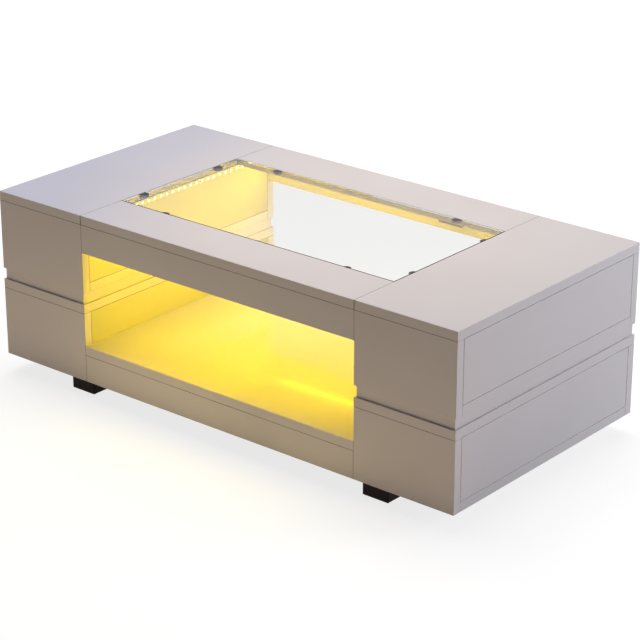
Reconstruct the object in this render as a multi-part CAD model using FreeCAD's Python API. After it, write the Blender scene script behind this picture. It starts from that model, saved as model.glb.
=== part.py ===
import FreeCAD, Part
import os

# Collectors display table: two end blocks of stacked drawer boxes, joined by a lit display
# compartment under a drop-in glass pane. Millimetres; the origin is on the floor under the
# middle of the table, +X runs along its length, the front is at -Y and +Z is up.

# Overall
table_length = 1200.0
table_depth = 600.0
foot_height = 40.0
board = 20.0
edge_bevel = 0.5

# End blocks
block_width = 240.0
box_height = 173.0
spacer_height = 24.0
spacer_setback = 4.0
spacer_rail_width = 40.0

# Bridge between the blocks
rail_depth = 120.0
upper_apron_height = 62.0
base_apron_height = 60.0

# Glass pane and its supports
glass_thickness = 8.0
glass_gap = 1.5
support_width = 19.0
support_reach = 13.0
support_corner = 8.5
support_thickness = 5.0
support_peg_radius = 2.5
support_peg_length = 10.0
rail_support_offset = 240.0
block_support_offset = 115.0

# Drawers
reveal = 0.8
drawer_wall = 12.0
drawer_bottom_thickness = 5.0
drawer_back_room = 12.0
drawer_head_room = 20.0
groove_depth = 5.0
groove_height = 6.0
groove_play = 0.2

# Telescopic runners
runner_room = 12.7
runner_height = 45.0
runner_sheet = 1.2
runner_play = 0.3
runner_front_room = 5.0
runner_back_room = 12.0
runner_screw_inset = 25.0

# Push latches
latch_length = 70.0
latch_width = 14.0
latch_height = 14.0
latch_flange_width = 38.0
latch_flange_thickness = 3.0
latch_top_room = 2.0
latch_screw_inset = 12.0
plunger_radius = 4.0
plunger_reach = 8.0
plunger_hold = 15.0
plunger_stroke = 3.0
plunger_play = 0.3

# Feet
foot_width = 64.0
foot_front_inset = 23.0
foot_inner_inset = 4.0
foot_bevel = 2.0
foot_screw_spacing = 30.0
foot_counterbore_depth = 25.0
foot_counterbore_room = 1.0

# Lighting
tape_width = 10.0
tape_thickness = 1.2
tape_drop = 1.0
tape_corner = 8.0
chip_size = 5.0
chip_height = 1.6
chip_pitch = 18.5
controller_length = 60.0
controller_width = 36.0
controller_height = 30.0
controller_offset = 180.0
controller_wall_room = 8.0
inlet_radius = 5.0
inlet_flange_radius = 8.0
inlet_flange_thickness = 2.5
inlet_drop = 3.0
socket_radius = 2.75
socket_depth = 10.0
socket_pin_radius = 1.05
socket_pin_length = 9.0

# Fasteners
dowel_radius = 4.0
dowel_in_face = 11.0
dowel_in_edge = 19.0
dowel_end_room = 1.0
cam_radius = 7.5
cam_floor = 1.5
cam_setback = 24.0
cam_inset = 45.0
cam_slot = 1.5
cam_slot_reach = 4.5
bolt_radius = 3.0
bolt_in_face = 11.0
screw_radius = 1.75
screw_in_wood = 12.0
screw_head_radius = 3.5
screw_head_height = 1.5
hole_play = 0.1
panel_dowel_offset = 180.0
spacer_upper_dowel_offset = 60.0
spacer_lower_dowel_offset = 120.0
rail_dowel_spacing = 60.0
bridge_dowel_offset = 250.0

# Places worked out from the sizes above
outer_x = table_length / 2
inner_x = outer_x - block_width
block_x = (inner_x + outer_x) / 2
outer_y = table_depth / 2
wall_y = outer_y - board
rail_y = outer_y - rail_depth
lower_z = foot_height
upper_z = lower_z + box_height + spacer_height
top_z = upper_z + box_height
under_top_z = top_z - board
compartment_z = lower_z + base_apron_height + board
front_back_x = outer_x - board
tape_z = under_top_z - tape_drop - tape_width

X = FreeCAD.Vector(1, 0, 0)
Y = FreeCAD.Vector(0, 1, 0)
Z = FreeCAD.Vector(0, 0, 1)


def at(x, y, z):
    return FreeCAD.Vector(x, y, z)


def box(low, high):
    """Plain block between two corners."""
    size = high - low
    return Part.makeBox(size.x, size.y, size.z, low)


def bevelled(low, high, bevel=edge_bevel):
    """Block between two corners with every edge bevelled."""
    solid = box(low, high)
    return solid.makeChamfer(bevel, solid.Edges)


def rod(start, axis, length, radius):
    return Part.makeCylinder(radius, length, start, axis)


def mirror_x(shape):
    return shape.mirror(FreeCAD.Vector(), X)


def mirror_y(shape):
    return shape.mirror(FreeCAD.Vector(), Y)


def both_sides(shapes):
    """The shapes of the right block followed by their twins on the left."""
    return list(shapes) + [mirror_x(shape) for shape in shapes]


def drill(boards, names, hole):
    """Cut one hole through each of the named boards."""
    for name in names:
        boards[name] = boards[name].cut(hole)


def dowel(point, axis):
    """Dowel across a joint, with its hole; axis points from the drilled face into the edge."""
    start = point - axis * dowel_in_face
    length = dowel_in_face + dowel_in_edge
    pin = rod(start, axis, length, dowel_radius)
    hole_start = start - axis * dowel_end_room
    hole = rod(hole_start, axis, length + 2 * dowel_end_room, dowel_radius + hole_play)
    return pin, hole


def cam_fitting(point, axis, cam_axis):
    """Cam disc, its bolt and their holes; cam_axis points out of the face that takes the disc."""
    centre = point + axis * cam_setback
    face = centre + cam_axis * (board / 2)
    depth = board / 2 + bolt_radius + cam_floor
    start = point - axis * bolt_in_face
    bolt_length = bolt_in_face + cam_setback
    bolt = rod(start, axis, bolt_length, bolt_radius)
    bolt_hole = rod(start, axis, bolt_length + bolt_radius, bolt_radius + hole_play)
    disc = rod(face, -cam_axis, depth, cam_radius).cut(bolt_hole)
    across = axis.cross(cam_axis)
    for run, side in ((axis, across), (across, axis)):
        half = run * cam_slot_reach + side * (cam_slot / 2)
        corners = [face - half, face + half - cam_axis * cam_slot]
        low = at(*[min(c[i] for c in corners) for i in range(3)])
        high = at(*[max(c[i] for c in corners) for i in range(3)])
        disc = disc.cut(box(low, high))
    disc_hole = rod(face, -cam_axis, depth + hole_play, cam_radius + hole_play)
    return [disc, bolt], disc_hole.fuse(bolt_hole)


def screw(seat, axis, length):
    """Pan-head screw whose head stands on the seat, and the pilot hole for its shank."""
    shank = rod(seat, axis, length, screw_radius)
    head = rod(seat, -axis, screw_head_height, screw_head_radius)
    pilot = rod(seat, axis, length + dowel_end_room, screw_radius + hole_play)
    return shank.fuse(head).removeSplitter(), pilot


def carcass_box(floor_z):
    """Boards of one right-hand drawer box, with the dowels and cams that join them."""
    ceiling_z = floor_z + box_height - board
    inside_z = floor_z + board
    boards = {
        "top": bevelled(at(inner_x, -outer_y, ceiling_z), at(outer_x, outer_y, ceiling_z + board)),
        "back": bevelled(at(inner_x, wall_y, floor_z), at(outer_x, outer_y, ceiling_z)),
        "front": bevelled(at(inner_x, -outer_y, floor_z), at(outer_x, -wall_y, ceiling_z)),
        "bottom": bevelled(at(inner_x, -wall_y, floor_z), at(outer_x, wall_y, inside_z)),
        "inner": bevelled(at(inner_x, -wall_y, inside_z), at(inner_x + board, wall_y, ceiling_z)),
    }
    pins = []
    cams = []
    for side, name in ((1, "back"), (-1, "front")):
        side_y = side * (outer_y - board / 2)
        middle_z = floor_z + board / 2
        pin, hole = dowel(at(block_x, side_y, ceiling_z), -Z)
        pins.append(pin)
        drill(boards, ("top", name), hole)
        pin, hole = dowel(at(block_x, side * wall_y, middle_z), -Y * side)
        pins.append(pin)
        drill(boards, ("bottom", name), hole)
        for cam_x in (inner_x + cam_inset, outer_x - cam_inset):
            fitting, hole = cam_fitting(at(cam_x, side_y, ceiling_z), -Z, -Y * side)
            cams.extend(fitting)
            drill(boards, ("top", name), hole)
            fitting, hole = cam_fitting(at(cam_x, side * wall_y, middle_z), -Y * side, -Z)
            cams.extend(fitting)
            drill(boards, ("bottom", name), hole)
        panel_x = inner_x + board / 2
        for edge_z, axis, name in ((ceiling_z, -Z, "top"), (inside_z, Z, "bottom")):
            pin, hole = dowel(at(panel_x, side * panel_dowel_offset, edge_z), axis)
            pins.append(pin)
            drill(boards, (name, "inner"), hole)
    return boards, pins, cams


def runner_channel(web, lips, height, x_low, x_high, middle_z):
    """Channel of folded sheet on the +Y side; web and lips are distances from the cabinet wall."""
    outer = box(
        at(x_low, wall_y - max(web + runner_sheet, lips), middle_z - height / 2),
        at(x_high, wall_y - min(web, lips), middle_z + height / 2),
    )
    hollow_low = web + runner_sheet if lips > web else lips
    hollow_high = lips if lips > web else web
    hollow = box(
        at(x_low, wall_y - hollow_high, middle_z - height / 2 + runner_sheet),
        at(x_high, wall_y - hollow_low, middle_z + height / 2 - runner_sheet),
    )
    return outer.cut(hollow)


def drawer(floor_z):
    """One right-hand drawer with its runners and push latch, and the holes these need."""
    inside_z = floor_z + board
    ceiling_z = floor_z + box_height - board
    low_z = inside_z + latch_height + latch_top_room
    high_z = ceiling_z - drawer_head_room
    back_x = inner_x + board + drawer_back_room
    side_y = wall_y - runner_room
    inside_y = side_y - drawer_wall
    groove_z = low_z + groove_height

    front_y = wall_y - reveal
    front = bevelled(
        at(front_back_x, -front_y, inside_z + reveal), at(outer_x, front_y, ceiling_z - reveal)
    )
    side = box(at(back_x, inside_y, low_z), at(front_back_x, side_y, high_z))
    back = box(at(back_x, -inside_y, low_z), at(back_x + drawer_wall, inside_y, high_z))
    bottom_low = at(back_x + drawer_wall - groove_depth, -inside_y - groove_depth, groove_z)
    bottom_top_z = groove_z + drawer_bottom_thickness
    bottom_high = at(front_back_x + groove_depth, inside_y + groove_depth, bottom_top_z)
    play = at(groove_play, groove_play, groove_play)
    groove = box(bottom_low - play, bottom_high + play)

    x_low = inner_x + board + runner_back_room
    x_high = front_back_x - runner_front_room
    middle_z = (low_z + high_z) / 2
    lips = runner_room - runner_sheet - runner_play
    middle_web = runner_sheet + screw_head_height + runner_play
    nest = 2 * (runner_sheet + runner_play)
    cabinet_runner = runner_channel(0, lips, runner_height, x_low, x_high, middle_z)
    middle_runner = runner_channel(middle_web, lips, runner_height - nest, x_low, x_high, middle_z)
    drawer_lips = middle_web + runner_sheet + runner_play
    drawer_web = runner_room - runner_sheet
    drawer_height = runner_height - 2 * nest
    drawer_runner = runner_channel(drawer_web, drawer_lips, drawer_height, x_low, x_high, middle_z)

    screws = []
    side_pilots = []
    for screw_x in (x_low + runner_screw_inset, x_high - runner_screw_inset):
        fastener, pilot = screw(at(screw_x, wall_y - runner_sheet, middle_z), Y, screw_in_wood)
        cabinet_runner = cabinet_runner.cut(pilot)
        screws.extend([fastener, mirror_y(fastener)])
        side_pilots.append(pilot)

    latch_x = front_back_x - plunger_reach
    plunger_z = inside_z + latch_height / 2
    housing = box(
        at(latch_x - latch_length, -latch_width / 2, inside_z),
        at(latch_x, latch_width / 2, inside_z + latch_height),
    )
    flange = box(
        at(latch_x - latch_length, -latch_flange_width / 2, inside_z),
        at(latch_x, latch_flange_width / 2, inside_z + latch_flange_thickness),
    )
    plunger_x = latch_x - plunger_hold
    plunger_tip = front_back_x - plunger_play
    plunger = rod(at(plunger_x, 0, plunger_z), X, plunger_tip - plunger_x, plunger_radius)
    well_x = plunger_x - plunger_stroke - plunger_play
    well = rod(at(well_x, 0, plunger_z), X, latch_x - well_x, plunger_radius + plunger_play)
    housing = housing.fuse(flange).removeSplitter().cut(well)
    floor_pilots = []
    screw_y = (latch_width + latch_flange_width) / 4
    for screw_x in (latch_x - latch_length + latch_screw_inset, latch_x - latch_screw_inset):
        for sign in (-1, 1):
            seat = at(screw_x, sign * screw_y, inside_z + latch_flange_thickness)
            fastener, pilot = screw(seat, -Z, screw_in_wood)
            housing = housing.cut(pilot)
            screws.append(fastener)
            floor_pilots.append(pilot)

    pieces = {
        "drawer_front": front.cut(groove),
        "drawer_sides": Part.makeCompound([side.cut(groove), mirror_y(side.cut(groove))]),
        "drawer_back": back.cut(groove),
        "drawer_bottom": box(bottom_low, bottom_high),
        "drawer_runners": Part.makeCompound([drawer_runner, mirror_y(drawer_runner)]),
        "middle_runners": Part.makeCompound([middle_runner, mirror_y(middle_runner)]),
        "latch_plunger": plunger,
    }
    fixed = {"runners": [cabinet_runner, mirror_y(cabinet_runner)], "housing": housing, "screws": screws}
    return pieces, fixed, side_pilots, floor_pilots


def mitred_rail(long_half, middle, low_z):
    """Rail along +Y with its outer face on the +X side and both ends cut to 45 degrees."""
    short_half = long_half - spacer_rail_width
    outer = middle + spacer_rail_width / 2
    inner = middle - spacer_rail_width / 2
    corners = [at(outer, -long_half, low_z), at(outer, long_half, low_z)]
    corners += [at(inner, short_half, low_z), at(inner, -short_half, low_z)]
    outline = Part.makePolygon(corners + corners[:1])
    return Part.Face(outline).extrude(Z * spacer_height)


def spacer_rails():
    """Mitred frame of four rails between the boxes of the right block, and its dowels and holes."""
    low_z = lower_z + box_height
    half_x = block_width / 2 - spacer_setback
    half_y = outer_y - spacer_setback
    rail_x = half_x - spacer_rail_width / 2
    long_rail = mitred_rail(half_y, rail_x, low_z)
    short_rail = mitred_rail(half_x, half_y - spacer_rail_width / 2, low_z)
    short_rail.rotate(FreeCAD.Vector(), Z, 90)
    frame = {
        "outer": long_rail,
        "inner": mirror_x(long_rail),
        "back": short_rail,
        "front": mirror_y(short_rail),
    }
    for rail in frame.values():
        rail.translate(X * block_x)
    pins = []
    upper_holes = []
    lower_holes = []
    for name, sign_x in (("inner", -1), ("outer", 1)):
        dowel_x = block_x + sign_x * rail_x
        for sign_y in (-1, 1):
            pin, hole = dowel(at(dowel_x, sign_y * spacer_upper_dowel_offset, upper_z), -Z)
            pins.append(pin)
            upper_holes.append(hole)
            drill(frame, (name,), hole)
            pin, hole = dowel(at(dowel_x, sign_y * spacer_lower_dowel_offset, low_z), Z)
            pins.append(pin)
            lower_holes.append(hole)
            drill(frame, (name,), hole)
    return list(frame.values()), pins, upper_holes, lower_holes


def foot_with_screws():
    """Back right foot, its two screws and the pilot holes above it."""
    x_low = inner_x + foot_inner_inset
    y_high = outer_y - foot_front_inset
    counterbore_radius = screw_head_radius + foot_counterbore_room
    foot = bevelled(at(x_low, y_high - foot_width, 0), at(x_low + foot_width, y_high, lower_z), foot_bevel)
    screws = []
    pilots = []
    for step in (-0.5, 0.5):
        screw_x = x_low + foot_width / 2 + step * foot_screw_spacing
        seat = at(screw_x, y_high - foot_width / 2, foot_counterbore_depth)
        fastener, pilot = screw(seat, Z, lower_z - foot_counterbore_depth + screw_in_wood)
        counterbore = rod(at(seat.x, seat.y, 0), Z, foot_counterbore_depth, counterbore_radius)
        foot = foot.cut(counterbore).cut(pilot)
        screws.append(fastener)
        pilots.append(pilot)
    return foot, screws, pilots


def glass_support():
    """One support at the origin, reaching along +X from an edge in the YZ plane, and its peg hole."""
    paddle = box(at(0, -support_width / 2, -support_thickness), at(support_reach, support_width / 2, 0))
    far_edges = [e for e in paddle.Edges if e.CenterOfMass.x > support_reach / 2]
    tips = [e for e in far_edges if abs(e.tangentAt(e.FirstParameter).z) > 0.5]
    paddle = paddle.makeFillet(support_corner, tips)
    peg_start = at(-support_peg_length, 0, -support_thickness / 2)
    peg = rod(peg_start, X, support_peg_length, support_peg_radius)
    hole_start = peg_start - X * dowel_end_room
    hole = rod(hole_start, X, support_peg_length + dowel_end_room, support_peg_radius + hole_play)
    return paddle.fuse(peg).removeSplitter(), hole


def placed(shape, x, y, z, turn):
    """Copy of a shape turned about +Z by an angle in degrees and moved to a point."""
    copy = shape.copy()
    copy.Placement = FreeCAD.Placement(at(x, y, z), FreeCAD.Rotation(Z, turn))
    return copy


def rounded_block(half_x, half_y, low_z, high_z, radius):
    block = box(at(-half_x, -half_y, low_z), at(half_x, half_y, high_z))
    uprights = [e for e in block.Edges if abs(e.tangentAt(e.FirstParameter).z) > 0.5]
    return block.makeFillet(radius, uprights)


def led_tape():
    """Tape stuck round the four walls of the compartment, open at its back right corner."""
    outside = rounded_block(inner_x, wall_y, tape_z, tape_z + tape_width, tape_corner)
    inside = rounded_block(
        inner_x - tape_thickness,
        wall_y - tape_thickness,
        tape_z,
        tape_z + tape_width,
        tape_corner - tape_thickness,
    )
    open_corner = box(
        at(inner_x - tape_corner, wall_y - tape_corner, tape_z),
        at(inner_x, wall_y, tape_z + tape_width),
    )
    return outside.cut(inside).cut(open_corner)


def chip_row(half_run):
    """Chip centres along one straight run of the tape."""
    count = int((2 * half_run - 4 * tape_corner) / chip_pitch)
    return [(i - (count - 1) / 2) * chip_pitch for i in range(count)]


def led_chips():
    half = chip_size / 2
    low_z = tape_z + tape_width / 2 - half
    high_z = low_z + chip_size
    face_x = inner_x - tape_thickness
    face_y = wall_y - tape_thickness
    chips = []
    for along in chip_row(inner_x):
        chip = box(at(along - half, face_y - chip_height, low_z), at(along + half, face_y, high_z))
        chips.extend([chip, mirror_y(chip)])
    for along in chip_row(wall_y):
        chip = box(at(face_x - chip_height, along - half, low_z), at(face_x, along + half, high_z))
        chips.extend([chip, mirror_x(chip)])
    return Part.makeCompound(chips)


def power_supply():
    """Controller box under the back rail, the inlet behind it and the hole through the back apron."""
    back_y = wall_y - controller_wall_room
    x_low = controller_offset - controller_length / 2
    controller = bevelled(
        at(x_low, back_y - controller_width, under_top_z - controller_height),
        at(x_low + controller_length, back_y, under_top_z),
    )
    inlet_z = tape_z - inlet_drop - inlet_flange_radius
    flange_y = outer_y - inlet_flange_thickness
    barrel = rod(at(controller_offset, back_y, inlet_z), Y, outer_y - back_y, inlet_radius)
    flange_start = at(controller_offset, flange_y, inlet_z)
    flange = rod(flange_start, Y, inlet_flange_thickness, inlet_flange_radius)
    socket_start = at(controller_offset, outer_y - socket_depth, inlet_z)
    socket = rod(socket_start, Y, socket_depth, socket_radius)
    pin = rod(socket_start, Y, socket_pin_length, socket_pin_radius)
    inlet = barrel.fuse(flange).removeSplitter().cut(socket.cut(pin))
    hole = rod(at(controller_offset, back_y, inlet_z), Y, outer_y - back_y, inlet_radius + hole_play)
    recess = rod(flange_start, Y, inlet_flange_thickness, inlet_flange_radius + hole_play)
    return controller, inlet, hole.fuse(recess)


def bridge_boards():
    """Boards between the two blocks."""
    apron_z = under_top_z - upper_apron_height
    floor_z = compartment_z - board
    return {
        "back_top_rail": bevelled(at(-inner_x, rail_y, under_top_z), at(inner_x, outer_y, top_z)),
        "front_top_rail": bevelled(at(-inner_x, -outer_y, under_top_z), at(inner_x, -rail_y, top_z)),
        "back_upper_apron": bevelled(at(-inner_x, wall_y, apron_z), at(inner_x, outer_y, under_top_z)),
        "front_upper_apron": bevelled(at(-inner_x, -outer_y, apron_z), at(inner_x, -wall_y, under_top_z)),
        "display_floor": bevelled(at(-inner_x, -outer_y, floor_z), at(inner_x, outer_y, compartment_z)),
        "back_base_apron": bevelled(at(-inner_x, wall_y, lower_z), at(inner_x, outer_y, floor_z)),
        "front_base_apron": bevelled(at(-inner_x, -outer_y, lower_z), at(inner_x, -wall_y, floor_z)),
    }


def glass_pane():
    half_x = inner_x - glass_gap
    half_y = rail_y - glass_gap
    return bevelled(at(-half_x, -half_y, top_z - glass_thickness), at(half_x, half_y, top_z))


def main():
    parts = {}
    upper, upper_pins, upper_cams = carcass_box(upper_z)
    lower, lower_pins, lower_cams = carcass_box(lower_z)
    block_pins = upper_pins + lower_pins
    block_cams = upper_cams + lower_cams
    block_screws = []
    cabinet_runners = []
    latch_housings = []

    for level, boards, floor_z in (("upper", upper, upper_z), ("lower", lower, lower_z)):
        pieces, fixed, side_pilots, floor_pilots = drawer(floor_z)
        for name, shape in pieces.items():
            parts["right_" + level + "_" + name] = shape
            parts["left_" + level + "_" + name] = mirror_x(shape)
        cabinet_runners.extend(fixed["runners"])
        latch_housings.append(fixed["housing"])
        block_screws.extend(fixed["screws"])
        for pilot in side_pilots:
            drill(boards, ("back",), pilot)
            drill(boards, ("front",), mirror_y(pilot))
        for pilot in floor_pilots:
            drill(boards, ("bottom",), pilot)

    rails, pins, upper_holes, lower_holes = spacer_rails()
    block_pins.extend(pins)
    for hole in upper_holes:
        drill(upper, ("bottom",), hole)
    for hole in lower_holes:
        drill(lower, ("top",), hole)

    foot, foot_screws, foot_pilots = foot_with_screws()
    feet = [foot, mirror_y(foot)]
    block_screws.extend(foot_screws)
    block_screws.extend([mirror_y(fastener) for fastener in foot_screws])
    for pilot in foot_pilots:
        drill(lower, ("bottom",), pilot)
        drill(lower, ("bottom",), mirror_y(pilot))

    # Joints between the bridge and the blocks, one end drilled and mirrored to the other
    bridge = bridge_boards()
    end_joints = []
    for side, place in ((1, "back"), (-1, "front")):
        side_y = side * (outer_y - board / 2)
        for step in (-0.5, 0.5):
            dowel_y = side * (outer_y - rail_depth / 2 + step * rail_dowel_spacing)
            point = at(inner_x, dowel_y, top_z - board / 2)
            end_joints.append((point, upper, "top", place + "_top_rail"))
        apron_point = at(inner_x, side_y, under_top_z - upper_apron_height / 2)
        end_joints.append((apron_point, upper, place, place + "_upper_apron"))
        base_point = at(inner_x, side_y, lower_z + base_apron_height / 2)
        end_joints.append((base_point, lower, place, place + "_base_apron"))
    for step in (-1, 0, 1):
        point = at(inner_x, step * panel_dowel_offset, compartment_z - board / 2)
        end_joints.append((point, lower, "inner", "display_floor"))
    for point, boards, block_board, bridge_board in end_joints:
        pin, hole = dowel(point, -X)
        block_pins.append(pin)
        drill(boards, (block_board,), hole)
        drill(bridge, (bridge_board,), hole)
        drill(bridge, (bridge_board,), mirror_x(hole))

    # Aprons hang from the rails and carry the compartment's floor
    bridge_pins = []
    for side, place in ((1, "back"), (-1, "front")):
        side_y = side * (outer_y - board / 2)
        for step in (-1, 0, 1):
            dowel_x = step * bridge_dowel_offset
            pin, hole = dowel(at(dowel_x, side_y, under_top_z), -Z)
            bridge_pins.append(pin)
            drill(bridge, (place + "_top_rail", place + "_upper_apron"), hole)
            pin, hole = dowel(at(dowel_x, side_y, compartment_z - board), -Z)
            bridge_pins.append(pin)
            drill(bridge, ("display_floor", place + "_base_apron"), hole)

    controller, inlet, inlet_hole = power_supply()
    drill(bridge, ("back_upper_apron",), inlet_hole)

    # Pane supports pegged into the rails and the top boards
    support, peg_hole = glass_support()
    support_z = top_z - glass_thickness
    supports = []
    for sign in (-1, 1):
        for edge_y, turn, rail in ((rail_y, -90, "back_top_rail"), (-rail_y, 90, "front_top_rail")):
            place = (sign * rail_support_offset, edge_y, support_z, turn)
            supports.append(placed(support, *place))
            drill(bridge, (rail,), placed(peg_hole, *place))
        place = (inner_x, sign * block_support_offset, support_z, 180)
        supports.extend(both_sides([placed(support, *place)]))
        drill(upper, ("top",), placed(peg_hole, *place))

    visible = {
        "top_panel": upper["top"],
        "upper_front_panel": upper["front"],
        "upper_back_panel": upper["back"],
        "middle_panel": lower["top"],
        "lower_front_panel": lower["front"],
        "lower_back_panel": lower["back"],
    }
    for name, shape in visible.items():
        parts["right_" + name] = shape
        parts["left_" + name] = mirror_x(shape)
    for name in ("back_top_rail", "front_top_rail", "display_floor"):
        parts[name] = bridge[name]
    parts["glass_top"] = glass_pane()
    parts["led_tape"] = led_tape()
    parts["led_chips"] = led_chips()
    parts["led_controller"] = controller
    parts["power_inlet"] = inlet
    groups = {
        "inner_panels": both_sides([upper["inner"], lower["inner"]]),
        "bottom_panels": both_sides([upper["bottom"], lower["bottom"]]),
        "spacer_rails": both_sides(rails),
        "upper_aprons": [bridge["front_upper_apron"], bridge["back_upper_apron"]],
        "base_aprons": [bridge["front_base_apron"], bridge["back_base_apron"]],
        "glass_supports": supports,
        "feet": both_sides(feet),
        "cabinet_runners": both_sides(cabinet_runners),
        "latch_housings": both_sides(latch_housings),
        "dowels": both_sides(block_pins) + bridge_pins,
        "cam_fittings": both_sides(block_cams),
        "screws": both_sides(block_screws),
    }
    for name, solids in groups.items():
        parts[name] = Part.makeCompound(solids)

    os.makedirs("parts", exist_ok=True)
    for name, shape in parts.items():
        shape.exportStep("parts/" + name + ".step")
    bounds = Part.makeCompound(list(parts.values())).BoundBox
    size = [round(length, 2) for length in (bounds.XLength, bounds.YLength, bounds.ZLength)]
    print(len(parts), "nodes, overall size", size)


main()
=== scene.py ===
# %% [markdown]
# # A lit display table
# The solids of this low table come from a CAD model: two end blocks of stacked drawers, a display
# compartment between them and a glass pane let into the top. In Blender they only need finishes,
# a few small pieces with more detail than the solids have, and a plain studio to stand in.
# The frame is loaded first, because every piece is placed by it, and its box is kept, with its
# size printed, as the dressed table's size is printed at the end.

# %% Load the frame
import math

import bmesh
import bpy
from mathutils import Matrix, Vector


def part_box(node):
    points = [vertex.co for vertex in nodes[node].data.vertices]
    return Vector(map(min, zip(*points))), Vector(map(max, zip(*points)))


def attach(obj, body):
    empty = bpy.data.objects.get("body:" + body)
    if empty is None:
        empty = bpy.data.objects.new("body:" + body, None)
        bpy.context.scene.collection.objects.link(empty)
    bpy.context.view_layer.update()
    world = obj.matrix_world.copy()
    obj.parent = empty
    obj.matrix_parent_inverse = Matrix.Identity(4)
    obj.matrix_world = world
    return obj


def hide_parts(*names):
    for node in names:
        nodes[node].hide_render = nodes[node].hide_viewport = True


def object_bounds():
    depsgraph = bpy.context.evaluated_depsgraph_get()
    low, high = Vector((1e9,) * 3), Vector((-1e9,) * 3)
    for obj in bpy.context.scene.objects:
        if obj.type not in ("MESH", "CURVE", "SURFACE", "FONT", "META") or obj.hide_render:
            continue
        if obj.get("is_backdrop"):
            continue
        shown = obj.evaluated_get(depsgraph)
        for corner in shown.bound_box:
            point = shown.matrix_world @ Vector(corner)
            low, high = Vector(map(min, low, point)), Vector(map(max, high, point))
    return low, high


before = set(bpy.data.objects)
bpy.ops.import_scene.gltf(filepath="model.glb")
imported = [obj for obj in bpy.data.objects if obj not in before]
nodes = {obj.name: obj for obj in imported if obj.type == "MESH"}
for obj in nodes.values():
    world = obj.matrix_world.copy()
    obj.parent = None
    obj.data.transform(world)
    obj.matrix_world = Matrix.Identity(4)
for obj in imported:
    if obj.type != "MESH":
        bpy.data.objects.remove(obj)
cad_low, cad_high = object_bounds()
scene = bpy.context.scene
scene.view_settings.view_transform = "Standard"
print(len(nodes), "CAD nodes, size", [round(length, 3) for length in cad_high - cad_low])

# %% [markdown]
# ## Camera
# The photograph is taken from the front right, a little above the table, through a long lens.
# Its place, its aim and its lens were worked out from the table's own corners and joint lines,
# so the camera needs no shift and the picture's middle is the lens's middle.

# %% Camera
VIEW_AZIMUTH = math.radians(39.90)
VIEW_ELEVATION = math.radians(22.35)
VIEW_PLACE = (2.8696, -3.4000, 2.0094)
VIEW_LENS = 130.35


def way_at(azimuth, rise):
    """A direction turned from +Y towards -X by the azimuth, and lifted by the rise."""
    level = math.cos(rise)
    return Vector((-math.sin(azimuth) * level, math.cos(azimuth) * level, math.sin(rise)))


camera_data = bpy.data.cameras.new("photo_view")
camera_data.lens = VIEW_LENS
camera = bpy.data.objects.new("photo_view", camera_data)
scene.collection.objects.link(camera)
camera.location = VIEW_PLACE
aim = way_at(VIEW_AZIMUTH, -VIEW_ELEVATION)
camera.rotation_euler = aim.to_track_quat("-Z", "Y").to_euler()
scene.camera = camera
print("camera", VIEW_LENS, "mm at", [round(x, 2) for x in camera.location])

# %% [markdown]
# ## Material helpers
# Every finish below is one Principled shader with a few textures in front of it. Adding nodes by
# hand takes many lines, so small helpers do it. One starts a finish, one joins a value or another
# node to an input, one adds a node with its settings and one paints the finish on CAD nodes. The
# others are steps that most finishes share: arithmetic, soft noise, a blend of two colours and a
# slight relief.

# %% Nodes and their inputs
def start_finish(name):
    material = bpy.data.materials.new(name)
    material.use_nodes = True
    tree = material.node_tree
    return material, tree, tree.nodes["Principled BSDF"]


def feed(tree, socket, value):
    """Set an input to a value, or join it to another node's output."""
    if isinstance(value, bpy.types.NodeSocket):
        tree.links.new(value, socket)
    else:
        socket.default_value = value


def add_node(tree, kind, inputs=None, **settings):
    node = tree.nodes.new("ShaderNode" + kind)
    for name, value in settings.items():
        setattr(node, name, value)
    for key, value in (inputs or {}).items():
        feed(tree, node.inputs[key], value)
    return node


def object_place(tree):
    """The point on the piece, in metres, which carries every pattern."""
    return add_node(tree, "TexCoord").outputs["Object"]


def paint(endings, material):
    """Give a finish to the CAD nodes whose names end so, and count them."""
    painted = [nodes[name] for name in nodes if name.endswith(endings)]
    for node in painted:
        node.data.materials.clear()
        node.data.materials.append(material)
    return len(painted)


print("node helpers ready")

# %% Steps that finishes share
NOISE_BAND = (0.3, 0.7)


def sums(tree, operation, *values):
    """One step of arithmetic on numbers or outputs."""
    node = add_node(tree, "Math", dict(enumerate(values)), operation=operation)
    return node.outputs[0]


def combine(tree, operation, values):
    """The same step of arithmetic along a whole list."""
    total, *others = values
    for value in others:
        total = sums(tree, operation, total, value)
    return total


def spread(tree, value, low, high, to_low=0.0, to_high=1.0):
    """Stretch a band of values to another band, held at its ends."""
    inputs = {0: value, 1: low, 2: high, 3: to_low, 4: to_high}
    return add_node(tree, "MapRange", inputs).outputs[0]


def blend_colours(tree, share, first, second):
    inputs = {0: share, 6: first, 7: second}
    return add_node(tree, "Mix", inputs, data_type="RGBA").outputs[2]


def clouds(tree, place, scale, detail=2.0, roughness=0.5):
    """Soft noise between 0 and 1, most of it within NOISE_BAND."""
    inputs = {"Vector": place, "Scale": scale, "Detail": detail, "Roughness": roughness}
    return add_node(tree, "TexNoise", inputs).outputs[0]


def raise_surface(tree, shader, height, depth):
    """Small relief on a finish; depth is in metres."""
    inputs = {"Height": height, "Distance": depth, "Strength": 1.0}
    bump = add_node(tree, "Bump", inputs)
    tree.links.new(bump.outputs[0], shader.inputs["Normal"])


print("finish steps ready")
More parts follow.
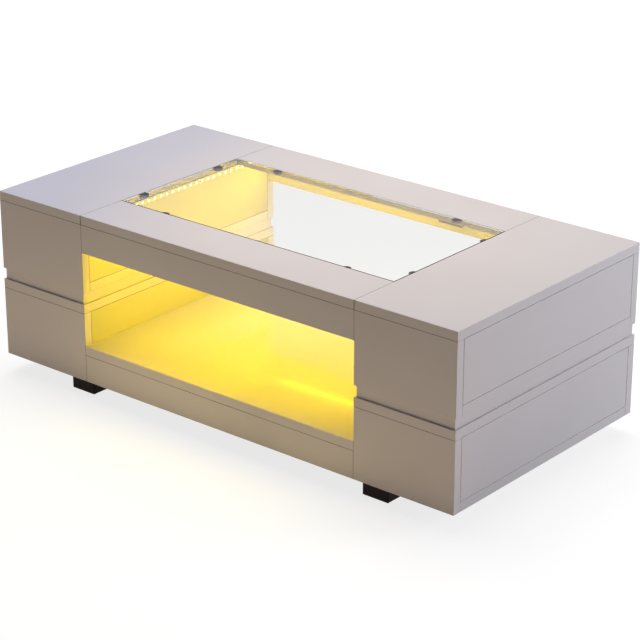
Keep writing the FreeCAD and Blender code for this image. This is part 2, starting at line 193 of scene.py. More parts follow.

# %% [markdown]
# ## Lacquer
# The boards are sprayed with a pale warm-grey gloss lacquer. Up close such a coat is never one
# flat colour: it drifts slightly from board to board, has the faint ripple of sprayed paint, and
# its bevelled edges are rubbed a little paler and duller. Where two boards meet, the bevels make
# a fine groove, and its shade is painted in as a darker colour, fainter on the narrow strips
# beside the drawer fronts. Beside the top boards, which only lie between the blocks, a near-black
# line of painted shade stands for the shade of a gap. The bevels are found by their slanting
# normals, and the grooves by their height or by the plane between block and bridge, so no picture
# is needed.

# %% Bevels and grooves
BEVEL_BAND = (0.98, 0.85)
BOARDS_OVER_GROOVES = ("left_top_panel", "left_middle_panel", "display_floor")
GROOVE_HEIGHTS = [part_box(node)[0].z for node in BOARDS_OVER_GROOVES]
GROOVE_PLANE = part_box("front_top_rail")[1].x
# Half widths of the painted shade on the joint bevels and of the painted line beside the top
# boards.
GROOVE_HALF = 0.0008
SEAM_SHADE_HALF = 0.0009
FACE_DEPTH = 0.0008
OUTER_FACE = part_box("left_top_panel")[1].y - FACE_DEPTH
END_FACE = cad_high.x - FACE_DEPTH
END_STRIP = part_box("left_upper_back_panel")[0].y
END_SHARE = 0.4


def bevel_mask(tree, normal):
    """1 on the slanting faces of a bevel and 0 on the flat faces of a board."""
    size = add_node(tree, "VectorMath", {0: normal}, operation="ABSOLUTE").outputs[0]
    split = add_node(tree, "SeparateXYZ", {0: size})
    return spread(tree, combine(tree, "MAXIMUM", split.outputs), *BEVEL_BAND)


def painted_shade_masks(tree, place):
    """Masks of painted shade: 1 near the planes where boards meet, 1 on a line beside the top
    boards.
    """
    split = add_node(tree, "SeparateXYZ", {0: place}).outputs
    across = sums(tree, "ABSOLUTE", split["X"])
    depth = sums(tree, "ABSOLUTE", split["Y"])
    upright = sums(tree, "COMPARE", across, GROOVE_PLANE, GROOVE_HALF)
    levels = [sums(tree, "COMPARE", split["Z"], height, GROOVE_HALF) for height in GROOVE_HEIGHTS]
    outside = sums(tree, "GREATER_THAN", depth, OUTER_FACE)
    on_end = sums(tree, "GREATER_THAN", across, END_FACE)
    on_strip = sums(tree, "MULTIPLY", on_end, sums(tree, "GREATER_THAN", depth, END_STRIP))
    shown = sums(tree, "MAXIMUM", outside, sums(tree, "MULTIPLY", on_strip, END_SHARE))
    level = sums(tree, "MULTIPLY", combine(tree, "MAXIMUM", levels), shown)
    beside_top = sums(tree, "GREATER_THAN", split["Z"], GROOVE_HEIGHTS[0])
    beside_top = sums(tree, "MULTIPLY", beside_top, outside)
    seam_shade = sums(tree, "COMPARE", across, GROOVE_PLANE, SEAM_SHADE_HALF)
    return sums(tree, "MAXIMUM", upright, level), sums(tree, "MULTIPLY", seam_shade, beside_top)


print("grooves at heights", [round(height, 3) for height in GROOVE_HEIGHTS])

# %% Lacquer
LACQUER = (0.64, 0.595, 0.565, 1.0)
LACQUER_DRIFT = (0.60, 0.555, 0.53, 1.0)
LACQUER_RUBBED = (0.70, 0.665, 0.64, 1.0)
# Painted shade: dark brown in the joint grooves, near-black on the line beside the top boards.
PAINTED_JOINT_SHADE = (0.17, 0.14, 0.12, 1.0)
PAINTED_SEAM_SHADE = (0.03, 0.024, 0.02, 1.0)
DRIFT_SCALE = 2.2
RUB_SCALE = 60.0
RUB_BAND = (0.42, 0.62)
RUB_DULLNESS = 0.18
HAZE_SCALE = 9.0
HAZE_BAND = (0.35, 0.75)
HAZE_ROUGHNESS = (0.045, 0.10)
RIPPLE_SCALE = 260.0
RIPPLE_DEPTH = 0.000005
LACQUERED = ("_panel", "_panels", "_rail", "_rails", "_aprons", "_drawer_front", "display_floor")


def lacquer_finish():
    material, tree, shader = start_finish("gloss_lacquer")
    coords = add_node(tree, "TexCoord")
    place = coords.outputs["Object"]
    bevel = bevel_mask(tree, coords.outputs["Normal"])
    joint_shade, seam_shade = painted_shade_masks(tree, place)
    joint_shade = sums(tree, "MULTIPLY", bevel, joint_shade)
    drift = spread(tree, clouds(tree, place, DRIFT_SCALE, detail=3.0), *NOISE_BAND)
    colour = blend_colours(tree, drift, LACQUER, LACQUER_DRIFT)
    patches = spread(tree, clouds(tree, place, RUB_SCALE, detail=4.0), *RUB_BAND)
    rubbed = sums(tree, "MULTIPLY", bevel, patches)
    colour = blend_colours(tree, rubbed, colour, LACQUER_RUBBED)
    # Painted shade laid over the lacquer in the joints and on the line beside the top boards.
    colour = blend_colours(tree, joint_shade, colour, PAINTED_JOINT_SHADE)
    colour = blend_colours(tree, seam_shade, colour, PAINTED_SEAM_SHADE)
    feed(tree, shader.inputs["Base Color"], colour)
    haze = clouds(tree, place, HAZE_SCALE, detail=5.0, roughness=0.6)
    haze = spread(tree, haze, *HAZE_BAND, *HAZE_ROUGHNESS)
    rough = sums(tree, "MULTIPLY_ADD", rubbed, RUB_DULLNESS, haze)
    feed(tree, shader.inputs["Roughness"], rough)
    shader.inputs["IOR"].default_value = 1.5
    shader.inputs["Coat Weight"].default_value = 0.25
    shader.inputs["Coat Roughness"].default_value = 0.03
    raise_surface(tree, shader, clouds(tree, place, RIPPLE_SCALE, detail=1.0), RIPPLE_DEPTH)
    return material


print(paint(LACQUERED, lacquer_finish()), "lacquered nodes")

# %% [markdown]
# ## Glass
# The pane is 8 mm of clear float glass with ground edges. A glass shader on the closed solid
# bends and mirrors light as the real pane does. A faint green in the volume gives the edge its
# colour, where the light runs a long way inside the pane, and faint smears break up the gloss.

# %% Glass
GLASS_TINT = (0.945, 0.985, 0.985, 1.0)
GLASS_GREEN = (0.55, 0.86, 0.74, 1.0)
GREEN_DENSITY = 3.0
SMEAR_SCALE = 14.0
SMEAR_BAND = (0.5, 0.8)
SMEAR_ROUGHNESS = (0.0, 0.004)


def glass_finish():
    material, tree, shader = start_finish("clear_float_glass")
    place = object_place(tree)
    shader.inputs["Base Color"].default_value = GLASS_TINT
    shader.inputs["Transmission Weight"].default_value = 1.0
    shader.inputs["IOR"].default_value = 1.5
    smears = clouds(tree, place, SMEAR_SCALE, detail=5.0, roughness=0.65)
    smears = spread(tree, smears, *SMEAR_BAND, *SMEAR_ROUGHNESS)
    feed(tree, shader.inputs["Roughness"], smears)
    inputs = {"Color": GLASS_GREEN, "Density": GREEN_DENSITY}
    body = add_node(tree, "VolumeAbsorption", inputs)
    tree.links.new(body.outputs[0], tree.nodes["Material Output"].inputs["Volume"])
    return material


paint("glass_top", glass_finish())
pane_low, pane_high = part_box("glass_top")
print("glass pane", [round(x, 4) for x in pane_high - pane_low])

# %% [markdown]
# ## Drawer boards
# The drawer boxes are chipboard faced with a pale printed foil. The foil has a linen emboss,
# sets of fine threads crossing each other, and the print under it is slightly mottled.

# %% Drawer boards
FOIL = (0.56, 0.53, 0.49, 1.0)
FOIL_THREAD = (0.47, 0.44, 0.40, 1.0)
FOIL_ROUGHNESS = (0.42, 0.56)
THREADS = 900.0
THREAD_WAVER = 1.5
THREAD_PRINT = (0.4, 1.0)
MOTTLE_SCALE = 35.0
EMBOSS_DEPTH = 0.00006


def drawer_board_finish():
    material, tree, shader = start_finish("linen_drawer_foil")
    place = object_place(tree)
    inputs = {"Vector": place, "Scale": THREADS, "Distortion": THREAD_WAVER, "Detail": 2.0}
    waves = []
    for direction in ("X", "Y", "Z"):
        waves.append(add_node(tree, "TexWave", inputs, bands_direction=direction).outputs[1])
    weave = sums(tree, "DIVIDE", combine(tree, "ADD", waves), float(len(waves)))
    mottle = clouds(tree, place, MOTTLE_SCALE, detail=4.0)
    thread = sums(tree, "MULTIPLY", weave, spread(tree, mottle, *NOISE_BAND, *THREAD_PRINT))
    feed(tree, shader.inputs["Base Color"], blend_colours(tree, thread, FOIL, FOIL_THREAD))
    feed(tree, shader.inputs["Roughness"], spread(tree, mottle, *NOISE_BAND, *FOIL_ROUGHNESS))
    raise_surface(tree, shader, weave, EMBOSS_DEPTH)
    return material


DRAWER_BOARDS = ("_drawer_sides", "_drawer_back", "_drawer_bottom")
print(paint(DRAWER_BOARDS, drawer_board_finish()), "nodes of drawer boards")

# %% [markdown]
# ## Runners, fittings and screws
# The runners are rolled from zinc-plated sheet, with a fine lengthwise grain and the cloudy
# crystals of the plating. The cams are cast zinc, duller and grainier, and the screws are bright
# plated steel with a faint yellow passivation. One recipe with other numbers makes all three.

# %% Metal finishes
GRAIN_SCALE = 900.0
GRAIN_DEPTH = 0.00002
CRYSTAL_SHARE = 0.3
WEAR_BAND = (0.3, 1.0)


def metal_finish(name, base, cloud, crystals, rough, grain):
    material, tree, shader = start_finish(name)
    place = object_place(tree)
    cells = add_node(tree, "TexVoronoi", {"Vector": place, "Scale": crystals})
    bright = add_node(tree, "SeparateXYZ", {0: cells.outputs["Color"]}).outputs[0]
    feed(tree, shader.inputs["Base Color"], blend_colours(tree, bright, base, cloud))
    inputs = {"Vector": place, "Scale": (grain, 1.0, 1.0)}
    stretched = add_node(tree, "Mapping", inputs).outputs[0]
    lines = clouds(tree, stretched, GRAIN_SCALE, detail=3.0)
    wear = sums(tree, "ADD", lines, sums(tree, "MULTIPLY", bright, CRYSTAL_SHARE))
    feed(tree, shader.inputs["Roughness"], spread(tree, wear, *WEAR_BAND, *rough))
    shader.inputs["Metallic"].default_value = 1.0
    raise_surface(tree, shader, lines, GRAIN_DEPTH)
    return material


runner_steel = metal_finish(
    "zinc_plated_sheet", base=(0.60, 0.61, 0.62, 1), cloud=(0.70, 0.71, 0.72, 1),
    crystals=160.0, rough=(0.22, 0.42), grain=0.04,
)
fitting_zinc = metal_finish(
    "cast_zinc", base=(0.50, 0.50, 0.51, 1), cloud=(0.58, 0.58, 0.59, 1),
    crystals=600.0, rough=(0.38, 0.60), grain=1.0,
)
screw_steel = metal_finish(
    "plated_screw_steel", base=(0.62, 0.58, 0.48, 1), cloud=(0.70, 0.66, 0.56, 1),
    crystals=900.0, rough=(0.20, 0.36), grain=1.0,
)
paint("cam_fittings", fitting_zinc)
print(paint("_runners", runner_steel), "runner nodes")

# %% [markdown]
# ## Plastics and rubber
# Feet, pane supports, latches, plungers and the light's controller are moulded. A moulded surface
# has a fine spark-eroded grain, slight flow clouds and edges polished by handling. The recipe
# takes a colour, a roughness and the depth of the grain. The power inlet is the same moulding
# with a bright metal pin in its socket, which is found by its distance from the inlet's axis.

# %% Plastic finishes
FLOW_SCALE = 25.0
FLOW_DULLNESS = 0.1
HANDLED_SCALE = 120.0
HANDLED_BAND = (0.35, 0.6)
HANDLED_PALER = 1.35
HANDLED_LIFT = 0.01
HANDLED_DULLNESS = -0.15


def moulded_finish(name, base, cloud, rough, grain_scale, grain_depth):
    material, tree, shader = start_finish(name)
    coords = add_node(tree, "TexCoord")
    place = coords.outputs["Object"]
    flow = spread(tree, clouds(tree, place, FLOW_SCALE, detail=3.0), *NOISE_BAND)
    rubs = spread(tree, clouds(tree, place, HANDLED_SCALE), *HANDLED_BAND)
    handled = sums(tree, "MULTIPLY", bevel_mask(tree, coords.outputs["Normal"]), rubs)
    colour = blend_colours(tree, flow, base, cloud)
    paler = [min(1.0, c * HANDLED_PALER + HANDLED_LIFT) for c in base[:3]] + [1.0]
    feed(tree, shader.inputs["Base Color"], blend_colours(tree, handled, colour, paler))
    dull = spread(tree, flow, 0.0, 1.0, rough, rough + FLOW_DULLNESS)
    polished = sums(tree, "MULTIPLY_ADD", handled, HANDLED_DULLNESS, dull)
    feed(tree, shader.inputs["Roughness"], polished)
    grain = add_node(tree, "TexVoronoi", {"Vector": place, "Scale": grain_scale}).outputs[0]
    raise_surface(tree, shader, grain, grain_depth)
    return material


BLACK_PLASTIC = {"base": (0.025, 0.025, 0.027, 1), "cloud": (0.033, 0.033, 0.035, 1)}
FOOT_GLOSS = 0.15
foot_plastic = moulded_finish(
    "foot_moulding", base=(0.026, 0.012, 0.007, 1), cloud=(0.036, 0.017, 0.010, 1),
    rough=0.36, grain_scale=900.0, grain_depth=0.0001,
)
foot_shader = foot_plastic.node_tree.nodes["Principled BSDF"]
foot_shader.inputs["Specular IOR Level"].default_value = FOOT_GLOSS
support_rubber = moulded_finish(
    "support_rubber", base=(0.012, 0.011, 0.011, 1), cloud=(0.018, 0.017, 0.016, 1),
    rough=0.62, grain_scale=1400.0, grain_depth=0.00005,
)
latch_plastic = moulded_finish(
    "latch_moulding", base=(0.30, 0.30, 0.31, 1), cloud=(0.34, 0.34, 0.35, 1),
    rough=0.38, grain_scale=1200.0, grain_depth=0.00004,
)
plunger_plastic = moulded_finish(
    "plunger_moulding", base=(0.66, 0.66, 0.65, 1), cloud=(0.70, 0.70, 0.69, 1),
    rough=0.30, grain_scale=1600.0, grain_depth=0.00002,
)
controller_plastic = moulded_finish(
    "controller_moulding", **BLACK_PLASTIC, rough=0.40, grain_scale=1000.0, grain_depth=0.00006
)
paint("feet", foot_plastic)
paint("glass_supports", support_rubber)
paint("latch_housings", latch_plastic)
print("feet, supports and latches painted")

# %% Power inlet
PIN_RADIUS = 0.0014
PIN_METAL = (0.72, 0.70, 0.64, 1)
inlet_low, inlet_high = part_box("power_inlet")
inlet_middle = (inlet_low + inlet_high) / 2


def inlet_finish():
    material = moulded_finish(
        "inlet_moulding", **BLACK_PLASTIC, rough=0.34, grain_scale=1000.0, grain_depth=0.00005
    )
    tree = material.node_tree
    shader = tree.nodes["Principled BSDF"]
    split = add_node(tree, "SeparateXYZ", {0: object_place(tree)})
    aside = sums(tree, "SUBTRACT", split.outputs["X"], inlet_middle.x)
    above = sums(tree, "SUBTRACT", split.outputs["Z"], inlet_middle.z)
    square = sums(tree, "MULTIPLY_ADD", aside, aside, sums(tree, "MULTIPLY", above, above))
    pin = sums(tree, "LESS_THAN", square, PIN_RADIUS ** 2)
    plastic = shader.inputs["Base Color"].links[0].from_socket
    feed(tree, shader.inputs["Base Color"], blend_colours(tree, pin, plastic, PIN_METAL))
    feed(tree, shader.inputs["Metallic"], pin)
    return material


paint("power_inlet", inlet_finish())
print("inlet at", [round(x, 3) for x in inlet_middle])

# %% [markdown]
# ## Dowels
# The dowels are fluted beech. Beech is a plain pinkish wood with short dark flecks, and those
# follow the pin, so noise is stretched along the wood and broken up by a second, finer one.

# %% Dowels
BEECH = (0.52, 0.36, 0.22, 1)
BEECH_GRAIN = (0.40, 0.26, 0.15, 1)
BEECH_FLECK = (0.24, 0.14, 0.08, 1)
BEECH_ROUGHNESS = (0.5, 0.65)
BEECH_STRETCH = (0.35, 0.35, 0.08)
BEECH_SCALE = 700.0
BEECH_DEPTH = 0.00005
FLECK_SCALE = 1800.0
FLECK_BAND = (0.62, 0.70)
FLECK_SHARE = 0.5


def beech_finish():
    material, tree, shader = start_finish("beech_dowel")
    place = object_place(tree)
    along = add_node(tree, "Mapping", {"Vector": place, "Scale": BEECH_STRETCH}).outputs[0]
    grain = clouds(tree, along, BEECH_SCALE, detail=4.0)
    flecks = spread(tree, clouds(tree, place, FLECK_SCALE), *FLECK_BAND)
    flecks = sums(tree, "MULTIPLY", flecks, FLECK_SHARE)
    colour = blend_colours(tree, grain, BEECH, BEECH_GRAIN)
    feed(tree, shader.inputs["Base Color"], blend_colours(tree, flecks, colour, BEECH_FLECK))
    feed(tree, shader.inputs["Roughness"], spread(tree, grain, *NOISE_BAND, *BEECH_ROUGHNESS))
    raise_surface(tree, shader, grain, BEECH_DEPTH)
    return material


print(paint("dowels", beech_finish()), "node of dowels")

# %% [markdown]
# ## Light tape
# The tape is a thin white film that carries copper pads under its cover. Every third chip the
# tape may be cut, and there it shows two bare pads. The pads repeat along the walls, so they are
# drawn by the remainder of the distance along each wall.

# %% Light tape
CHIP_PITCH = 0.0185
CUT_EVERY = 3 * CHIP_PITCH
PAD_RISE = 0.0026
PAD_HALF_HEIGHT = 0.0011
PAD_HALF_LENGTH = 0.0018
COPPER = (0.55, 0.28, 0.12, 1)
FILM = (0.66, 0.64, 0.58, 1)
FILM_CLOUD = (0.74, 0.72, 0.66, 1)
FILM_ROUGHNESS = (0.32, 0.45)
FILM_SCALE = 300.0
FILM_SHARE = 0.3
FILM_DEPTH = 0.00003
tape_low, tape_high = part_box("led_tape")
tape_middle = (tape_low.z + tape_high.z) / 2


def tape_finish():
    material, tree, shader = start_finish("light_tape_film")
    place = object_place(tree)
    split = add_node(tree, "SeparateXYZ", {0: place}).outputs
    rise = sums(tree, "ABSOLUTE", sums(tree, "SUBTRACT", split["Z"], tape_middle))
    masks = []
    for along in (split["X"], split["Y"]):
        shifted = sums(tree, "ADD", along, CHIP_PITCH / 2)
        step = sums(tree, "PINGPONG", shifted, CUT_EVERY / 2)
        masks.append(sums(tree, "LESS_THAN", step, PAD_HALF_LENGTH))
    masks.append(sums(tree, "COMPARE", rise, PAD_RISE, PAD_HALF_HEIGHT))
    pads = combine(tree, "MULTIPLY", masks)
    film = clouds(tree, place, FILM_SCALE)
    colour = blend_colours(tree, film, FILM, FILM_CLOUD)
    feed(tree, shader.inputs["Base Color"], blend_colours(tree, pads, colour, COPPER))
    feed(tree, shader.inputs["Metallic"], pads)
    feed(tree, shader.inputs["Roughness"], spread(tree, film, *NOISE_BAND, *FILM_ROUGHNESS))
    raise_surface(tree, shader, sums(tree, "MULTIPLY_ADD", film, FILM_SHARE, pads), FILM_DEPTH)
    return material


paint("led_tape", tape_finish())
print("tape painted, cut marks every", round(CUT_EVERY * 1000, 1), "mm")

# %% [markdown]
# ## Light chips
# Each chip is a small white package with a phosphor window let into its face. The CAD solid is
# only the package's block, so the chips are made again: one is modelled from a cube, with its
# upright edges bevelled and its window inset, and copies go where the CAD chips are. Those places
# are read from the node itself, by merging a copy of its mesh and boxing each separate solid. The
# windows glow for the eye alone, since their light on the boards is given by lamps further below.

# %% Places of the separate solids in a node
MERGE = 1e-6


def solid_points(node):
    """The corner points of each separate solid of a CAD node."""
    mesh = bmesh.new()
    mesh.from_mesh(nodes[node].data)
    bmesh.ops.remove_doubles(mesh, verts=mesh.verts, dist=MERGE)
    mesh.verts.index_update()
    seen = set()
    solids = []
    for first in mesh.verts:
        if first.index in seen:
            continue
        seen.add(first.index)
        group = [first]
        for vert in group:
            for edge in vert.link_edges:
                other = edge.other_vert(vert)
                if other.index not in seen:
                    seen.add(other.index)
                    group.append(other)
        solids.append([vert.co.copy() for vert in group])
    mesh.free()
    return solids


def box_of(points):
    low = Vector([min(point[i] for point in points) for i in range(3)])
    high = Vector([max(point[i] for point in points) for i in range(3)])
    return low, high


chip_boxes = [box_of(points) for points in solid_points("led_chips")]
print(len(chip_boxes), "chips")

# %% Meshes, copies and pieces
def mesh_data(name, mesh):
    """Turn a bmesh into mesh data and let go of it."""
    data = bpy.data.meshes.new(name)
    mesh.to_mesh(data)
    mesh.free()
    return data


def standing(place, way):
    """Matrix that takes the origin to a place and +Z to a direction."""
    return Matrix.Translation(place) @ way.to_track_quat("Z", "Y").to_matrix().to_4x4()


def add_copy(mesh, template, placing):
    start = len(mesh.verts)
    mesh.from_mesh(template)
    mesh.verts.ensure_lookup_table()
    bmesh.ops.transform(mesh, matrix=placing, verts=mesh.verts[start:])


def new_piece(name, mesh, body, slot, *materials):
    """Finish a bmesh as a piece that rides on a body."""
    data = mesh_data(name, mesh)
    for material in materials:
        data.materials.append(material)
    piece = bpy.data.objects.new(name, data)
    scene.collection.objects.link(piece)
    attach(piece, body)
    return piece


print("piece helpers ready")

# %% One chip
WINDOW_RIM = 0.00025
WINDOW_SLOPE = WINDOW_RIM / 4
WINDOW_DEPTH = 0.00015
PACKAGE_BEVEL = 0.0003


def chip_mesh(width, height):
    """One chip with its back at the origin and its window facing +Z."""
    mesh = bmesh.new()
    bmesh.ops.create_cube(mesh, size=1.0)
    bmesh.ops.scale(mesh, vec=(width, width, height), verts=mesh.verts)
    bmesh.ops.translate(mesh, vec=(0, 0, height / 2), verts=mesh.verts)
    upright = [e for e in mesh.edges if abs(e.verts[0].co.z - e.verts[1].co.z) > height / 2]
    bmesh.ops.bevel(
        mesh, geom=upright, offset=PACKAGE_BEVEL,
        affect="EDGES", segments=1, profile=0.5, material=-1,
    )
    mesh.normal_update()
    front = [f for f in mesh.faces if f.normal.z > 0.9]
    bmesh.ops.inset_region(mesh, faces=front, thickness=WINDOW_RIM, depth=0.0)
    bmesh.ops.inset_region(mesh, faces=front, thickness=WINDOW_SLOPE, depth=-WINDOW_DEPTH)
    for face in front:
        face.material_index = 1
    return mesh_data("one_chip", mesh)


first_size = chip_boxes[0][1] - chip_boxes[0][0]
one_chip = chip_mesh(first_size.z, min(first_size.x, first_size.y))
print("one chip has", len(one_chip.polygons), "faces")

# %% Chip finishes
PACKAGE = (0.76, 0.74, 0.68, 1)
PACKAGE_CLOUD = (0.68, 0.66, 0.60, 1)
PACKAGE_ROUGHNESS = (0.35, 0.5)
PACKAGE_SCALE = 700.0
PHOSPHOR = (0.80, 0.56, 0.08, 1)
PHOSPHOR_GRAIN = (0.72, 0.46, 0.05, 1)
PHOSPHOR_ROUGHNESS = (0.25, 0.4)
PHOSPHOR_SCALE = 2500.0
WINDOW_GLOW = (1.0, 0.86, 0.42, 1.0)
WINDOW_STRENGTH = 6.0


def cast_finish(name, base, cloud, scale, rough):
    """A small casting: clouds in its colour and in its gloss."""
    material, tree, shader = start_finish(name)
    cast = clouds(tree, object_place(tree), scale)
    feed(tree, shader.inputs["Base Color"], blend_colours(tree, cast, base, cloud))
    feed(tree, shader.inputs["Roughness"], spread(tree, cast, *NOISE_BAND, *rough))
    return material


package = cast_finish(
    "chip_package", PACKAGE, PACKAGE_CLOUD, PACKAGE_SCALE, PACKAGE_ROUGHNESS
)
phosphor = cast_finish(
    "phosphor_window", PHOSPHOR, PHOSPHOR_GRAIN, PHOSPHOR_SCALE, PHOSPHOR_ROUGHNESS
)
phosphor_shader = phosphor.node_tree.nodes["Principled BSDF"]
phosphor_shader.inputs["Emission Color"].default_value = WINDOW_GLOW
phosphor_shader.inputs["Emission Strength"].default_value = WINDOW_STRENGTH
print("chip finishes", package.name, "and", phosphor.name)

# %% Copies of the chip
def chip_placing(low, high):
    """Matrix that stands a chip on the wall behind it."""
    size = high - low
    middle = (low + high) / 2
    axis = 0 if size.x < size.y else 1
    inward = Vector((0, 0, 0))
    inward[axis] = -math.copysign(1, middle[axis])
    return standing(middle - inward * size[axis] / 2, inward)


chips = bmesh.new()
for low, high in chip_boxes:
    add_copy(chips, one_chip, chip_placing(low, high))
chips_piece = new_piece("light_chips", chips, "carcass", "led_lens", package, phosphor)
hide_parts("led_chips")
chips_piece.visible_diffuse = False
chips_piece.visible_glossy = False
print("light_chips", len(chips_piece.data.polygons), "faces")

# %% [markdown]
# ## Controller
# The box under the back rail feeds the tape. A moulded controller has a base and a lid with a
# seam between them, a few ribs for the fingers and a button. Three bevelled blocks make base,
# seam and lid, because a groove cut into one block would leave thin faces.

# %% Controller case
CASE_ROUND = 0.002
SEAM = 0.0012
SEAM_SETBACK = 0.0008
SEAM_ROUND = SEAM_SETBACK / 4
LID_SHARE = 0.4


def bevelled_block(mesh, low, high, radius, segments=2):
    """Add a block between two corners with rounded edges."""
    made = bmesh.ops.create_cube(mesh, size=1.0)["verts"]
    bmesh.ops.scale(mesh, vec=high - low, verts=made)
    bmesh.ops.translate(mesh, vec=(low + high) / 2, verts=made)
    edges = list({e for v in made for e in v.link_edges})
    bmesh.ops.bevel(
        mesh, geom=edges, offset=radius,
        affect="EDGES", segments=segments, profile=0.5, material=-1,
    )


case_low, case_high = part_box("led_controller")
seam_z = case_high.z - (case_high.z - case_low.z) * LID_SHARE
base_z = seam_z - SEAM
setback = Vector((SEAM_SETBACK, SEAM_SETBACK, 0))
case = bmesh.new()
bevelled_block(case, Vector((case_low.x, case_low.y, seam_z)), case_high, CASE_ROUND)
bevelled_block(case, case_low, Vector((case_high.x, case_high.y, base_z)), CASE_ROUND)
core_low = Vector((case_low.x, case_low.y, base_z - SEAM)) + setback
core_high = Vector((case_high.x, case_high.y, seam_z + SEAM)) - setback
bevelled_block(case, core_low, core_high, SEAM_ROUND, 1)
print("seam at", round(seam_z, 4), "m")

# %% Ribs and button
RIBS = 6
RIB_PITCH = 0.0045
RIB_INSET = 0.010
RIB_WIDTH = 0.0018
RIB_STANDS = 0.0008
RIB_ROOT = 0.001
RIB_END_ROOM = 0.003
RIB_ROUND = 0.0004
BUTTON_INSET = 0.016
BUTTON_STANDS = 0.0012
BUTTON_LIFT = 0.005
BUTTON_SIZE = Vector((0.008, 0.003, 0.008))
BUTTON_ROUND = 0.0012

for i in range(RIBS):
    rib_x = case_low.x + RIB_INSET + i * RIB_PITCH
    low = Vector((rib_x, case_low.y - RIB_STANDS, case_low.z + RIB_END_ROOM))
    high = Vector((rib_x + RIB_WIDTH, case_low.y + RIB_ROOT, base_z - RIB_END_ROOM))
    bevelled_block(case, low, high, RIB_ROUND, 1)
button_y = case_low.y - BUTTON_STANDS
button_low = Vector((case_high.x - BUTTON_INSET, button_y, case_low.z + BUTTON_LIFT))
bevelled_block(case, button_low, button_low + BUTTON_SIZE, BUTTON_ROUND)
case_piece = new_piece(
    "light_controller", case, "carcass", "controller_plastic", controller_plastic
)
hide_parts("led_controller")
print("light_controller", len(case_piece.data.polygons), "faces")

# %% [markdown]
# ## Latch plungers
# A push latch has a round plunger with a soft tip and a collar behind it. Its outline is turned
# about its own axis, so the profile is a row of points that is spun round, and the seam is merged.
# The outline's distances are counted from the plunger's back, from the start of its tip and from
# its front, so that they follow the length of the CAD plunger, and its radii are shares of the
# plunger's own.

# %% Latch plungers
TURN_STEPS = 32
TIP_LENGTH = 0.003
BACK_OUTLINE = ((0, 0), (0, 0.92), (0.0006, 1))
COLLAR_OUTLINE = ((-0.0012, 1), (-0.0006, 0.86), (0, 0.86), (0.0004, 0.97))
FRONT_OUTLINE = ((-0.0011, 0.95), (-0.0004, 0.75), (0, 0.45), (0, 0))


def spun(profile, steps, turn=0.0):
    """Spin a profile of (distance along, radius) pairs about +Z, starting at a turn."""
    mesh = bmesh.new()
    x, y = math.cos(turn), math.sin(turn)
    row = [mesh.verts.new((radius * x, radius * y, along)) for along, radius in profile]
    edges = [mesh.edges.new(pair) for pair in zip(row, row[1:])]
    bmesh.ops.spin(
        mesh, geom=row + edges, cent=(0, 0, 0), axis=(0, 0, 1), angle=2 * math.pi,
        steps=steps, use_merge=True,
    )
    bmesh.ops.remove_doubles(mesh, verts=mesh.verts, dist=MERGE)
    bmesh.ops.recalc_face_normals(mesh, faces=mesh.faces)
    return mesh


def plunger_profile(length, radius):
    starts = ((0, BACK_OUTLINE), (length - TIP_LENGTH, COLLAR_OUTLINE), (length, FRONT_OUTLINE))
    profile = []
    for start, outline in starts:
        profile += [(start + along, radius * share) for along, share in outline]
    return profile


plungers = [n for n in nodes if n.endswith("_latch_plunger")]
for node in plungers:
    low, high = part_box(node)
    outward = 1 if low.x > 0 else -1
    back = (low + high) / 2
    back.x = low.x if outward > 0 else high.x
    mesh = spun(plunger_profile(high.x - low.x, (high.z - low.z) / 2), TURN_STEPS)
    placing = standing(back, Vector((outward, 0, 0)))
    bmesh.ops.transform(mesh, matrix=placing, verts=mesh.verts)
    body = node.replace("_latch", "")
    piece = new_piece(node + "_turned", mesh, body, "plunger_plastic", plunger_plastic)
    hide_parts(node)
print(len(plungers), "plungers")

# %% [markdown]
# ## Screws
# The screws have pan heads with a cross recess for the driver and a coarse thread for board. Their
# outline is spun as the plungers' is, and at this size twelve sides are enough. Twelve points also
# run round a grid of three by three squares. The grid's outline is drawn out and welded to the
# nearest points of the head's rim, which closes the head point by point, and the five squares of
# the cross are then pressed in. Which end of a CAD screw carries the head is seen from the points
# that lie far from its axis.

# %% One screw
SCREW_SIDES = 12
HEAD_HEIGHT = 0.0015
HEAD_OUTLINE = ((0, 0.78), (0.0004, 0.94), (0.0008, 1), (HEAD_HEIGHT, 1))
SHANK_SHARE = 0.5
THREAD_PITCH = 0.0016
THREAD_ROOT = 0.78
POINT_LENGTH = 0.004
POINT_SHARE = 0.15
CROSS_SHARE = 0.5
RECESS_DEPTH = 0.001
RECESS_TAPER = 0.00012


def screw_profile(head, length):
    """Distances from the top of the head, each with its radius."""
    shank = head * SHANK_SHARE
    profile = [(along, head * share) for along, share in HEAD_OUTLINE]
    along = HEAD_HEIGHT
    while along < length - POINT_LENGTH:
        profile.append((along, shank * THREAD_ROOT))
        profile.append((along + THREAD_PITCH / 2, shank))
        along += THREAD_PITCH
    return profile + [(along, shank * THREAD_ROOT), (length, shank * POINT_SHARE)]


def close_head(mesh, half):
    """Fill the open rim of the head from a grid, and give the squares of the cross."""
    rim = {vert for edge in mesh.edges if edge.is_boundary for vert in edge.verts}
    grid = bmesh.ops.create_grid(mesh, x_segments=3, y_segments=3, size=half)["verts"]
    squares = {face for vert in grid for face in vert.link_faces}
    middles = {square: square.calc_center_median() for square in squares}
    cross = [s for s, middle in middles.items() if min(map(abs, middle.xy)) < half / 3]
    outline = {edge for vert in grid for edge in vert.link_edges if edge.is_boundary}
    drawn = bmesh.ops.extrude_edge_only(mesh, edges=list(outline))["geom"]
    corners = [part for part in drawn if isinstance(part, bmesh.types.BMVert)]
    nearest = {c: min(rim, key=lambda vert: (vert.co - c.co).length) for c in corners}
    bmesh.ops.weld_verts(mesh, targetmap=nearest)
    return cross


